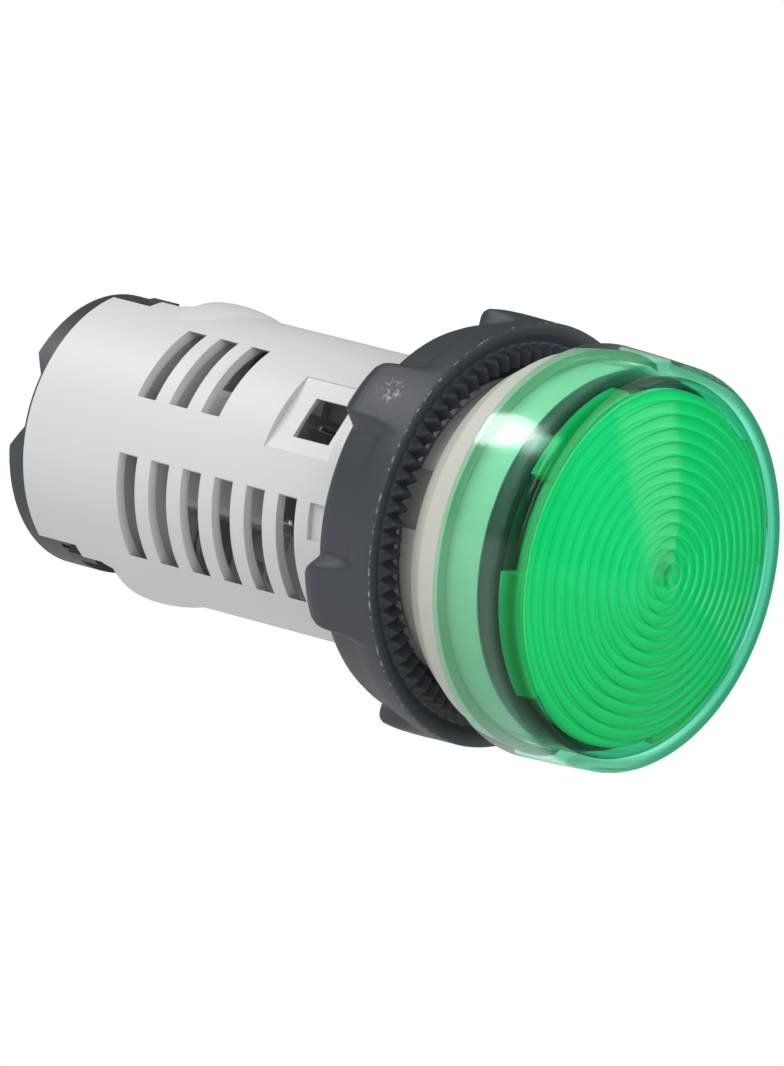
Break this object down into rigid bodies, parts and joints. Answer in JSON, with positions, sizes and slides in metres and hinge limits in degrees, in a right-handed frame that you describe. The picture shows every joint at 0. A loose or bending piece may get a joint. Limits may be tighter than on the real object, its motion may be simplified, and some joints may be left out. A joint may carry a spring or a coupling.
{
  "type": "panel pilot light",
  "caption": "Round panel pilot light with a green Fresnel lens, panel gasket, serrated fixing nut, slotted grey housing and a dark screw-clamp terminal block.",
  "frame": {"origin": "centre of the panel seat, the rear face of the gasket", "axes": "+Y along the lamp axis to the rear (the lens looks along -Y), +Z from the lower to the upper terminal, +X completes the right-handed frame"},
  "size_m": [0.0298, 0.0534, 0.0298],
  "materials": {
    "lens_green": "polished",
    "diffuser_green": "satin",
    "charcoal_seal": "satin",
    "white_plastic": "satin",
    "white_laminate": "satin",
    "clear_resin": "polished",
    "tinned_metal": "satin",
    "grey_elastomer": "matt",
    "light_grey_plastic": "satin",
    "charcoal_plastic": "satin",
    "brass": "satin",
    "zinc_steel": "satin",
    "white_board": "satin",
    "resistor_coat": "satin",
    "grey_case": "satin",
    "black_resin": "matt",
    "blue_coat": "satin",
    "glass_diode": "polished"
  },
  "bodies": {
    "housing": {"lens_cap": "lens_green", "lens_diffuser": "diffuser_green", "lens_seal": "charcoal_seal", "reflector": "white_plastic", "led_board": "white_laminate", "led_lamp": "clear_resin", "board_pins": "tinned_metal", "panel_gasket": "grey_elastomer", "body_housing": "light_grey_plastic", "terminal_block": "charcoal_plastic", "contact_strip_1": "brass", "contact_strip_2": "brass", "circuit_board": "white_board", "board_solder": "tinned_metal", "component_leads": "tinned_metal", "resistor_1": "resistor_coat", "resistor_2": "resistor_coat", "capacitor": "grey_case", "rectifier": "black_resin", "varistor": "blue_coat", "zener_diode": "glass_diode"},
    "nut": {"fixing_nut": "charcoal_plastic"},
    "clamp_1": {"clamp_plate_1": "zinc_steel"},
    "clamp_2": {"clamp_plate_2": "zinc_steel"},
    "screw_1": {"terminal_screw_1": "zinc_steel"},
    "screw_2": {"terminal_screw_2": "zinc_steel"}
  },
  "joints": [
    {"name": "nut_turn", "type": "hinge", "parent": "housing", "child": "nut", "pos_m": [0, 0.005, 0], "axis": [0, 1, 0], "continuous": true},
    {"name": "clamp_1_slide", "type": "slide", "parent": "housing", "child": "clamp_1", "axis": [0, -1, 0], "range_m": [0, 0.0028]},
    {"name": "clamp_2_slide", "type": "slide", "parent": "housing", "child": "clamp_2", "axis": [0, -1, 0], "range_m": [0, 0.0028]},
    {"name": "screw_1_turn", "type": "hinge", "parent": "clamp_1", "child": "screw_1", "pos_m": [0, 0.0374, 0.0056], "axis": [0, -1, 0], "range_deg": [0, 2016]},
    {"name": "screw_2_turn", "type": "hinge", "parent": "clamp_2", "child": "screw_2", "pos_m": [0, 0.0374, -0.0056], "axis": [0, -1, 0], "range_deg": [0, 2016]}
  ],
  "couplings": [
    {"joint": "screw_1_turn", "follows": "clamp_1_slide", "rad_per_m": 12566},
    {"joint": "screw_2_turn", "follows": "clamp_2_slide", "rad_per_m": 12566}
  ]
}
